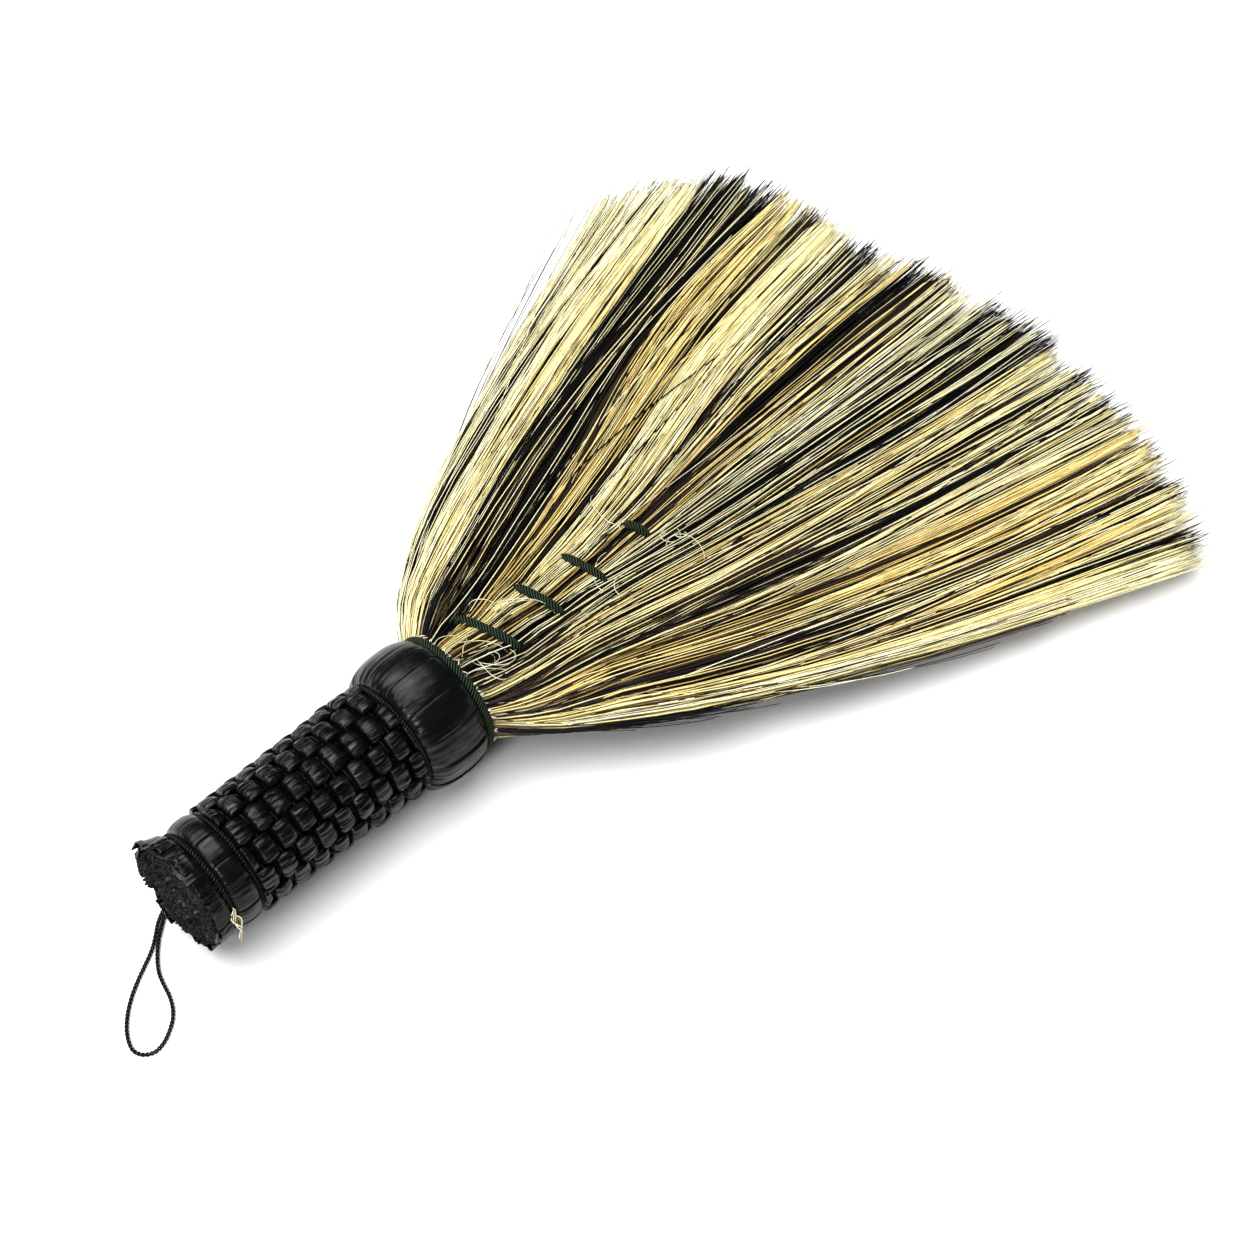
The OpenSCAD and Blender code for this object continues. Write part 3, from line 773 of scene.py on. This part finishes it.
# The bundles from left to right. Each has where its left edge is at the stations, as a
# percentage of the fan's half width, the share of dark fibres, the tone of its straw, that
# of its dark fibres, and how far its tips stand out.
BUNDLES = [
    ((100, 107, 105, 102, 99, 95, 95), 0.18, 0.15, 0.4, -6),
    ((99, 105, 101, 98, 95.5, 91, 90), 0.2, 0.25, 0.4, -2),
    ((98, 104, 100, 96.5, 93, 86.5, 82.5), 0.92, 0.3, 0.7, 0),
    ((94, 99, 92.5, 89, 86, 84.5, 80), 0.1, 0.2, 0.4, -2),
    ((86, 90, 85, 82, 81, 79.5, 78), 0.04, 0.42, 0.5, -4),
    ((62, 74, 71, 70, 70, 71, 71.5), 0.72, 0.2, 0.3, 2),
    ((56, 68, 66.5, 66, 66.5, 66.5, 66.5), 0.95, 0.3, 0.3, 2),
    ((50, 62, 62, 63, 63.5, 61, 61.5), 0.55, 0.45, 0.8, -8),
    ((42, 50, 48.5, 50.5, 54, 59, 57), 0.96, 0.3, 0.35, 1),
    ((34, 30, 36, 41, 44.5, 55.5, 52), 0.27, 0.62, 0.6, 0),
    ((27, 23.5, 26.5, 30, 33.5, 43, 45), 0.88, 0.5, 0.6, 1),
    ((20, 19, 20, 25, 29, 40.5, 40), 0.1, 0.4, 0.5, -2),
    ((12, 11.5, 10.7, 10.7, 14.6, 28.5, 31.5), 0.68, 0.35, 0.55, -4),
    ((5, 6, 6, 7, 10, 20.5, 21), 0.34, 0.62, 0.7, 0),
    ((0, 2, 2, 4, 7.5, 14.5, 14), 0.92, 0.6, 0.45, 1),
    ((-4, -2, -1, 1, 5.5, 7.5, 6), 0.55, 0.4, 0.8, 1),
    ((-9, -6, -5.5, -5, -2.6, -0.5, 0), 0.42, 0.12, 0.4, 0),
    ((-16, -12, -9.5, -8.5, -8.2, -9, -9.5), 0.97, 0.2, 0.2, 2),
    ((-24, -19, -12.5, -11, -13, -14.5, -15.5), 0.58, 0.35, 0.3, 0),
    ((-34, -28, -19, -16, -18.5, -18, -18.5), 0.8, 0.3, 0.3, 3),
    ((-42, -35, -23.5, -19, -20.5, -22.5, -24.5), 0.64, 0.25, 0.3, 2),
    ((-50, -40, -26.5, -21, -22.5, -28, -29), 0.8, 0.3, 0.5, 2),
    ((-60, -43, -29, -25, -25, -29, -30), 0.34, 0.38, 0.5, -1),
    ((-75, -55, -42, -38.5, -39.4, -37.5, -38.5), 0.75, 0.45, 0.5, 1),
    ((-80, -62, -45, -41, -40.5, -41, -42), 0.48, 0.3, 0.5, 0),
    ((-86, -70, -56, -50, -47.5, -49.5, -49.5), 0.93, 0.3, 0.4, 1),
    ((-87, -71, -57, -51, -50.5, -53, -51), 0.3, 0.35, 0.5, -2),
    ((-90, -76, -62, -58, -59, -55, -54.5), 0.96, 0.3, 0.4, 1),
    ((-90.5, -76.5, -62.5, -58.5, -59.5, -57, -57), 0.28, 0.42, 0.6, -1),
    ((-91, -77, -63, -60, -60.5, -65, -64.5), 0.76, 0.6, 0.9, 0),
    ((-93, -83, -69, -67, -67.5, -68, -66.5), 0.28, 0.45, 0.7, 0),
    ((-95, -88, -78, -75, -75, -76.5, -75), 0.8, 0.7, 0.9, -6),
    ((-96.5, -91, -82, -80, -79, -80, -79), 0.64, 0.5, 0.7, 0),
    ((-98, -95.5, -90.5, -90, -89.5, -85, -81), 0.22, 0.42, 0.7, -1),
    ((-98.3, -96.5, -91.5, -91, -91, -90.5, -88.5), 0.25, 0.22, 0.6, -1),
    ((-98.7, -97.5, -93, -92.5, -92.5, -91.5, -92), 0.82, 0.3, 0.4, -2),
    ((-99, -98, -93.5, -93.5, -94, -95, -95.5), 0.05, 0.1, 0.5, -3)]
RIGHT_OUTLINE = (-100, -100, -99, -99, -99, -100, -101)
EDGES = np.array([b[0] for b in BUNDLES] + [RIGHT_OUTLINE]) / 100

# Share of the straws that stay on top at the mouth, by share of the fan from right to left.
MOUTH_SHARES = (-1.0, -0.8, -0.5, -0.25, 0.06, 0.09, 0.19, 0.24, 0.52, 0.62, 0.72, 1.0)
MOUTH_STRAW = (0.7, 0.5, 0.4, 0.25, 0.2, 1.0, 1.0, 0.06, 0.05, 0.5, 1.0, 1.0)
# The kinds of fibre, by whether they are dark, and the width of each in a full layer.
KINDS = {False: "straw", True: "black"}
STRAW_D = 0.60
DARK_D = 0.48
FIBRE_POINTS = 22
FIBRE_LINE = np.append(np.linspace(0, 0.988, FIBRE_POINTS - 1) ** 1.12, 1)
NEAR_TIPS = np.array([0.8])
CURL_POINTS = 26


def heading(angle):
    return vectors(np.cos(np.radians(angle)), np.sin(np.radians(angle)))


def tip_reach(w):
    return FAN_LEN - CORNER_DROP * np.abs(w) ** 4 + SHOULDER * np.exp(-(((w - 0.6) / 0.22) ** 2))


def fibre(w, t):
    """[along, across] at share w of the fan and t of the way to the tips."""
    w, t = np.broadcast_arrays(w, t)
    root = vectors(0, BUNDLE_R * w)
    tip = tip_reach(w)[..., None] * heading(CORNER_ANGLE * w)
    near = root + ROOT_PULL * heading(MOUTH_SPREAD * w)
    far = tip - TIP_PULL * heading(TIP_SPREAD * w)
    t = t[..., None]
    u = 1 - t
    return u**3 * root + 3 * t * u**2 * near + 3 * t**2 * u * far + t**3 * tip


def fan_half(s):
    return TIP_HALF + (BUNDLE_R - TIP_HALF) * np.exp(-np.maximum(0, s) / 38)


def edge_half(s, w):
    power = 2 + 6 * smooth(s / 80)
    return fan_half(s) * np.sqrt(np.maximum(0.02, 1 - np.minimum(1, np.abs(w)) ** power))


def fan_z(s):
    return TIP_HALF + (AXIS_Z - TIP_HALF) * np.maximum(0, 1 - s / FAN_LEN) ** 1.15


def in_fan(s, y, z):
    """Points in the shared frame from places along and across the fan, and heights."""
    return vectors(
        BUTT_X + MOUTH_X + s * math.cos(FAN_TURN) - y * math.sin(FAN_TURN),
        AXIS_Y + s * math.sin(FAN_TURN) + y * math.cos(FAN_TURN), z)


def spine_half(s):
    return np.interp(s, SPINE_S, SPINE_HALF)


def lean(s):
    return SPINE_LEAN * smooth(s / 20) * (1 - smooth((s - 60) / 120))


def spine_swell(s, y):
    """How far the spine's fibres bulge between the ties, in mm."""
    inside = smooth((spine_half(s) + 1 - np.abs(y - lean(s))) / 3)
    stations = np.array([0, *TIE_STATIONS])
    k = np.clip(np.searchsorted(stations, s, side="right") - 1, 0, len(stations) - 2)
    q = np.clip((s - stations[k]) / (stations[k + 1] - stations[k]), 0, 1)
    pinch = np.exp(-(((s - stations[-1]) / 8) ** 2))
    return inside * np.where(s < stations[-1], 2.8 * np.sin(np.pi * q) ** 0.7 - 1.2, -1.2 * pinch)


def hurd_of(w):
    """CAD node that a fibre with tip share w stands for, as a number from -5 to 5."""
    side = np.sign(w) * np.ceil((np.abs(w) - SPINE_SHARE) / HURD_SHARE)
    return np.where(np.abs(w) < SPINE_SHARE, 0, np.clip(side, -HURDS, HURDS)).astype(int)


def hurd_name(number):
    side = "left" if number > 0 else "right"
    return f"{side}_hurd_{abs(number)}" if number else "spine_hurd"


def fibre_points(share, depth, reach, sway, rise):
    """Paths (n, points, 3) of fibres. share is (n, points); reach scales the length."""
    t = FIBRE_LINE * reach[:, None]
    flat = fibre(share, t)
    s, y = flat[..., 0], flat[..., 1] + sway
    z = fan_z(s) + edge_half(s, share) * depth + rise
    z = z + np.maximum(0, depth) * spine_swell(s, y)
    return in_fan(s, y, z)


def with_roots(paths):
    """Adds a first point inside the collar to each path."""
    axis = np.array([0, AXIS_Y, AXIS_Z])
    root = mix(axis, paths[:, :1], [1, ROOT_CLOSER, ROOT_CLOSER]) - [ROOT_DEPTH, 0, 0]
    return np.concatenate([root, paths], 1)


def wander(count, size, waves):
    """Slow sideways wandering along each fibre, none at the root."""
    t = np.linspace(0, 1, FIBRE_POINTS)
    start = rng.uniform(0, 2 * np.pi, (count, 1))
    speed = rng.uniform(0.5, 1.0, (count, 1)) * waves
    swing = size * rng.normal(0, 1, (count, 1)) * np.sin(start + 2 * np.pi * speed * t)
    return swing * smooth(t / 0.25)


def tones(middle, spread, count):
    return np.clip(rng.normal(middle, spread, count), 0, 1)


def bundle_widths(t):
    """Width of every bundle in mm at each t of the way to the tips, as (bundles, t)."""
    lines = through(STATIONS, EDGES, t)
    return (lines[:-1] - lines[1:]) * fibre(1.0, t)[..., 1]


def bundle_layers(k):
    """Each layer of bundle k: how many fibres, their depths as shares of the fan's half
    thickness, and whether they are dark. The top, the underside, and then the inside."""
    dark_share = BUNDLES[k][1]
    wide = bundle_widths(NEAR_TIPS)[k, 0]
    cover = -math.log(np.clip(dark_share, 0.035, 0.97))
    straws = wide / STRAW_D * cover
    darks = wide / DARK_D
    # Dark fibres just under the top, and a fill inside all but the edge bundles that is mostly dark:
    # partly the broom's own black fibres, partly painted shade showing in the gaps between the top
    # straws.
    hairs = 1.5 if dark_share > 0.5 else 0.5 + 1.6 * dark_share
    at_edge = k in (0, len(BUNDLES) - 1)
    straw_fill, dark_fill = (3.0, 0.3) if at_edge else (0.35, 4.5)
    return (
        (1.55 * straws, (0.93, 1.08), False), (0.8 * straws, (-1.06, -0.93), False),
        (hairs * darks, (0.86, 1.04), True), (1.2 * darks, (-1.0, -0.84), True),
        (straw_fill * straws + 1, (-0.85, 0.85), False), (dark_fill * darks, (-0.86, 0.86), True))


def lock_shares(k, lock, locks):
    """Share of the fan all along each fibre of bundle k, as (fibres, points)."""
    left, right = through(STATIONS, EDGES[k:k + 2], FIBRE_LINE)
    middles = (np.arange(locks) + rng.uniform(0.1, 0.9, locks)) / locks
    place = np.clip(middles[lock] + rng.normal(0, 0.42 / locks, len(lock)), 0, 1)
    return mix(left, right, place[:, None])


def sunk(k, depth, mouth_share, is_dark):
    """Depth all along each fibre of bundle k. Toward the mouth fewer have room on top, so each
    sinks under the others where the bundle gets narrower than its own rank."""
    t = FIBRE_LINE
    one_each = (len(depth), 1)
    crowd = np.clip(bundle_widths(t)[k] / bundle_widths(NEAR_TIPS)[k], 0.02, 1)
    room = crowd**1.25
    if not is_dark:
        mouth = np.interp(mouth_share, MOUTH_SHARES, MOUTH_STRAW)
        room = room * mix(1.0, mouth, smooth((0.24 - t) / 0.2))
        room = room * mix(0.56, 1.2, smooth((t - 0.35) / 0.5))
    rank = rng.random(one_each)
    fall = smooth((rank - room) / 0.25 + 0.2)
    return depth - np.sign(depth) * fall * mix(0.16, 0.34, rng.random(one_each))


def tip_lengths(lock, locks, is_dark, under_straw, stand):
    """How far the fibres' tips stand out of the fan's outline, in mm."""
    count = len(lock)
    standing = rng.random(count) < 0.1
    if under_straw:
        middle = np.where(standing, 2, -rng.uniform(8, 70, count))
    else:
        middle = 1.5 * is_dark - 0.5
    tip = middle + rng.normal(0, 2.4, count) + stand + rng.normal(0, 1.6, locks)[lock]
    tip = tip - (rng.random(count) < 0.08) * rng.uniform(5, 60, count)
    return tip + (rng.random(count) < 0.12) * rng.uniform(0, 7, count)


def layer_fibres(k, count, depths, is_dark, dark_share, straw_tone, dark_tone, stand):
    """One layer of bundle k, whose fibres lie together in locks of about seven."""
    locks = max(2, count // 7)
    lock = rng.integers(0, locks, count)
    share = lock_shares(k, lock, locks)
    level = sunk(k, rng.uniform(*depths, (count, 1)), share[:, :1], is_dark)
    under_straw = is_dark and dark_share < 0.5
    golden = 0.20 * np.clip(-share[:, -1], 0, 1)
    # Dark fibres under mostly straw bundles take a browner tone: painted shade of the straw above
    # them.
    base_tone = dark_tone + 0.25 * under_straw if is_dark else straw_tone + golden
    lock_tone = rng.normal(0, 0.08, locks)[lock]
    tone = np.clip(base_tone + rng.normal(0, 0.19, count) + lock_tone, 0, 1)
    tip = tip_lengths(lock, locks, is_dark, under_straw, stand)
    t = FIBRE_LINE
    slant = rng.normal(0, 0.9, locks)[lock] + rng.normal(0, 1.2, count)
    sway = slant[:, None] * t**2.2 + wander(count, 0.35, 1.6) + wander(count, 0.3, 4.0)
    sway = sway + rng.normal(0, 0.15, (count, FIBRE_POINTS)) * smooth(t / 0.15)
    rise = wander(count, 0.25, 1.8) + rng.normal(0, 0.09, (count, FIBRE_POINTS))
    paths = fibre_points(share, level, 1 + tip / FAN_LEN, sway, rise)
    radius = rng.uniform(0.19, 0.29, count) if is_dark else rng.uniform(0.20, 0.39, count)
    return paths, radius, tone, np.full(count, is_dark), hurd_of(share[:, -1])


def fan_fibres():
    """Every fibre of the fan: its path, radius, tone, whether it is dark, and its hurd."""
    groups = []
    for k, (_, *looks) in enumerate(BUNDLES):
        for count, depths, is_dark in bundle_layers(k):
            groups.append(layer_fibres(k, max(3, round(count)), depths, is_dark, *looks))
    return [np.concatenate(parts) for parts in zip(*groups)]


def fibre_piece(name, paths, width, tone, dark, replaces=(), rooted=True):
    """One mesh of tapered fibres. Straws get paler toward their tips, and their sides get painted
    shade, which fades toward the tips of the rooted ones."""
    if rooted:
        paths = with_roots(paths)
    count, points = paths.shape[:2]
    t = np.linspace(0, 1, points)
    thin = 1.1 - 0.22 * t
    thin[-1] = 0.45
    radii = width[:, None] * thin
    paths[..., 2] = np.maximum(paths[..., 2], radii + 0.05)
    rings = tube_rings(paths, radii)
    shape = rings.shape[:3]
    own = rng.uniform(0, 400, (count, 1, 1))
    grain = vectors(distance_along(paths)[..., None], np.arange(FIBRE_SIDES) * 1.1, own)
    paler = 1 - 0.38 * smooth((t - 0.7) / 0.3) * (not dark)
    # ridge is 1 at each fibre's top corner and lower on its sides, where straws get painted shade;
    # bare lifts the sides toward the tips.
    bare = 0.8 * smooth((t - 0.55) / 0.4)[:, None] if rooted else 0.7
    return loft(name, rings, KINDS[dark] + "_fibre", {
        "tone": np.broadcast_to((tone[:, None] * paler)[..., None], shape), "grain": grain,
        "ridge": np.broadcast_to(np.array([1.0, 0.0, 0.0]) + np.array([0.0, 1.0, 1.0]) * bare, shape),
    }, replaces)


def make_fan():
    paths, width, tone, dark, hurd = fan_fibres()
    for number in range(-HURDS, HURDS + 1):
        node = hurd_name(number)
        for is_dark, kind in KINDS.items():
            chosen = (hurd == number) & (dark == is_dark)
            fibre_piece(f"{node}_{kind}", paths[chosen], width[chosen], tone[chosen], is_dark, [node])


def crossing_fibres():
    """Loose fibres that lie on top of the fan and cross the others at a small angle."""
    for is_dark, count in ((False, 30), (True, 20)):
        start = rng.uniform(-0.95, 0.97, count)
        shift = rng.normal(0, 0.07, count)
        t = FIBRE_LINE
        share = np.clip(start[:, None] + shift[:, None] * (t - 0.5) * 2, -1.03, 1.03)
        level = 1.03 - 0.5 * smooth((rng.uniform(0.25, 0.6, (count, 1)) - t) / 0.2)
        tip = rng.normal(-2, 5, count)
        sway = wander(count, 1.0, 1.5)
        rise = 0.5 * wander(count, 0.9, 2.0)
        paths = fibre_points(share, level, 1 + tip / FAN_LEN, sway, rise)
        width = rng.uniform(0.2, 0.34, count)
        tone = tones(0.4 if is_dark else 0.08, 0.12, count)
        fibre_piece(f"crossing_{KINDS[is_dark]}_fibres", paths, width, tone, is_dark)


def curl(start, aim, length, bend, lift):
    """A curly loose fibre on top of the fan, from start [s, y], in the direction aim."""
    q = np.linspace(0, 1, CURL_POINTS)
    angle = np.radians(aim) + bend * q + 0.35 * np.sin(5 * q + bend)
    step = length / (CURL_POINTS - 1)
    s = start[0] + np.cumsum(np.cos(angle)) * step
    y = start[1] + np.cumsum(np.sin(angle)) * step
    w = y / (BUNDLE_R + 0.72 * np.maximum(s, 0))
    z = fan_z(s) + edge_half(s, w) + 0.6 + lift * np.sin(np.pi * q)
    return in_fan(s, y, z)


def pale_fibres(name, paths, thin, thick):
    """One piece of loose pale fibres, with radii from thin to thick."""
    width = rng.uniform(thin, thick, len(paths))
    fibre_piece(name, np.array(paths), width, tones(0.0, 0.04, len(paths)), False, rooted=False)


def curly_fibres():
    """The pale curly ends tangled above the mouth and by the last ties."""
    # Middle of each tangle as [s, y], its spread, and its number of curls.
    tangles = (((9, -1), (5, 8), 12), ((30, 12), (5, 3), 3), ((62, -13), (8, 4), 2),
               ((92, 6), (6, 4), 2), ((100, -9), (7, 4), 3))
    paths = []
    for middle, spread, count in tangles:
        for _ in range(count):
            start = np.array(middle) + rng.uniform(-1, 1, 2) * spread
            bend = rng.choice([-1, 1]) * rng.uniform(0.6, 4.2)
            aim = rng.uniform(-75, 75) - np.degrees(bend) / 2
            paths.append(curl(start, aim, rng.uniform(9, 26), bend, rng.uniform(0.4, 2.6)))
    pale_fibres("curly_loose_fibres", paths, 0.11, 0.17)


def braid_nubs():
    """Short pale fibre ends that poke out along the braid round the mouth."""
    paths = []
    for turn in rng.uniform(-115, 60, 34):
        x = MOUTH_X + rng.uniform(1.6, 3.0)
        run = np.linspace(0, rng.uniform(0.7, 2.0), 5)
        skew = rng.uniform(-6, 6)
        paths.append(on_handle(x + run, turn + skew * run / 2, 21.6 + 0.3 * np.sin(2 * run)))
    pale_fibres("braid_nubs", paths, 0.16, 0.26)


def stray_fibres():
    """Loose fibres that leave the fan's edges, and a fringe of short ones low on its right."""
    # Whether dark, how many, share of the fan near the start and at the end, and reach.
    strays = ((False, 4, -0.80, -1.05, 0.62), (True, 9, -0.96, -1.04, 0.42),
              (True, 5, -0.90, -1.06, 0.8), (True, 6, 0.90, 1.03, 1.0),
              (False, 3, 0.93, 1.04, 0.95), (True, 90, -1.0, -1.0, 0.40))
    t = FIBRE_LINE
    for number, (is_dark, count, first, last, reach) in enumerate(strays, 1):
        is_fringe = first == last
        ends = last + rng.normal(0, 0.02, (count, 1))
        share = mix(first, ends, smooth(t) * rng.uniform(0.7, 1, (count, 1)))
        start, spread = (-0.1, 0.5) if is_fringe else (0.9, 0.05)
        level = start + spread * rng.uniform(-1, 1, (count, 1)) - 0.4 * t
        tip = reach * rng.uniform(0.4 if is_fringe else 0.8, 1.0, count)
        sway = wander(count, 0.8, 1.6)
        paths = fibre_points(share, level, tip, sway, 0.4 * sway)
        tone = tones(0.4 if is_dark else 0.05, 0.1, count)
        fibre_piece(f"stray_fibres_{number}", paths, rng.uniform(0.14, 0.22, count), tone, is_dark)


def spine_ties():
    """Green braid round the spine: over the top of the fan, and down between the hurds."""
    turn = np.radians(np.linspace(180, 540, 1500))
    c, q = np.cos(turn), np.sin(turn)
    for number, (s, tie_turn) in enumerate(zip(TIE_STATIONS, TIE_TURNS), 1):
        up = np.sign(c) * np.abs(c) ** 0.45 * (fan_half(s) + TIE_ABOVE)
        side = np.sign(q) * np.abs(q) ** 0.5 * (spine_half(s) - TIE_INSIDE)
        a = math.radians(tie_turn)
        line = in_fan(s - math.sin(a) * side, lean(s) + math.cos(a) * side, fan_z(s) + up)
        node = f"spine_tie_{number}"
        rope(node + "_braid", evenly(line, BRAID_STEP), BRAID_LAY, "green_braid", node)


def straw_tuft():
    """A few bent straw ends left in the groove behind the lower collar."""
    low, high = box_mm("straw_tuft")
    side = np.sign((low[1] + high[1]) / 2 - AXIS_Y)
    out = np.array([-0.30, side * 0.75, -0.30])
    fall = np.array([-0.05, 0.0, -0.75])
    cross = np.array([1.0, 0.2 * side, 0.3])
    q = np.linspace(0, 1, 10)
    # Each end's turn round the handle, length, sideways bend, radius and tone.
    ends = ((77, 5.0, -1.5, 0.26, 0.05), (80, 5.6, -1.0, 0.22, 0.25), (86, 5.2, 1.3, 0.27, 0.1),
            (90, 5.6, 0.9, 0.22, 0.9), (74, 3.2, 0.5, 0.2, 0.3), (93, 3.6, -0.4, 0.2, 1.0))
    turns, lengths, bends, widths, shades = np.array(ends).T
    starts = on_handle(GROOVE_X, side * turns, GROOVE_R + 0.9)
    paths = [start + np.outer(q * length, out) + np.outer(q**2 * length, fall)
             + np.outer(np.sin(q * 4) * bend, cross)
             for start, length, bend in zip(starts, lengths, bends)]
    fibre_piece("straw_tuft_ends", np.array(paths), widths, shades, False, ["straw_tuft"], False)


make_fan()
crossing_fibres()
curly_fibres()
braid_nubs()
stray_fibres()
spine_ties()
straw_tuft()

# -------- floor and light

FLOOR_HALF = 6.0
FILL_STRENGTH = 0.13


def make_floor():
    mesh = bpy.data.meshes.new("floor")
    corners = [(x * FLOOR_HALF, y * FLOOR_HALF, 0) for x, y in ((-1, -1), (1, -1), (1, 1), (-1, 1))]
    mesh.from_pydata(corners, [], [(0, 1, 2, 3)])
    m = Nodes("floor")
    base = m.ramp(m.noise(m.place(), (1, 1, 1), 3.0), [(0.0, (0.76,) * 3), (1.0, (0.79,) * 3)])
    m.set(Base_Color=base, Roughness=0.9, Specular_IOR_Level=0.1)
    mesh.materials.append(m.material)
    floor = add_object("floor", mesh)


def add_light(name, kind, place, power, **settings):
    """A light at a place in metres, turned to the middle of the floor."""
    data = bpy.data.lights.new(name, kind)
    data.energy = power
    for key, value in settings.items():
        setattr(data, key, value)
    light = add_object(name, data)
    light.location = place
    light.rotation_euler = Vector([-c for c in place]).to_track_quat("-Z", "Y").to_euler()


def make_world():
    """A backdrop that the camera sees as white, and that lights the broom only a little."""
    world = bpy.data.worlds.new("studio")
    world.use_nodes = True
    tree = world.node_tree
    choose = tree.nodes.new("ShaderNodeMixShader")
    rays = tree.nodes.new("ShaderNodeLightPath")
    tree.links.new(rays.outputs["Is Camera Ray"], choose.inputs["Fac"])
    for number, strength in ((1, FILL_STRENGTH), (2, 1.0)):
        light = tree.nodes.new("ShaderNodeBackground")
        light.inputs["Color"].default_value = (1, 1, 1, 1)
        light.inputs["Strength"].default_value = strength
        tree.links.new(light.outputs["Background"], choose.inputs[number])
    tree.links.new(choose.outputs["Shader"], tree.nodes["World Output"].inputs["Surface"])
    bpy.context.scene.world = world
    bpy.context.scene.view_settings.view_transform = "Standard"


make_floor()
make_world()
# A broad key from above, and a small soft box low behind the butt.
add_light("key", "SUN", (-0.20, 0.28, 1.2), 6.0, angle=math.radians(72))
add_light("butt_side", "AREA", (-1.15, -0.42, 0.75), 8, shape="DISK", size=0.32)
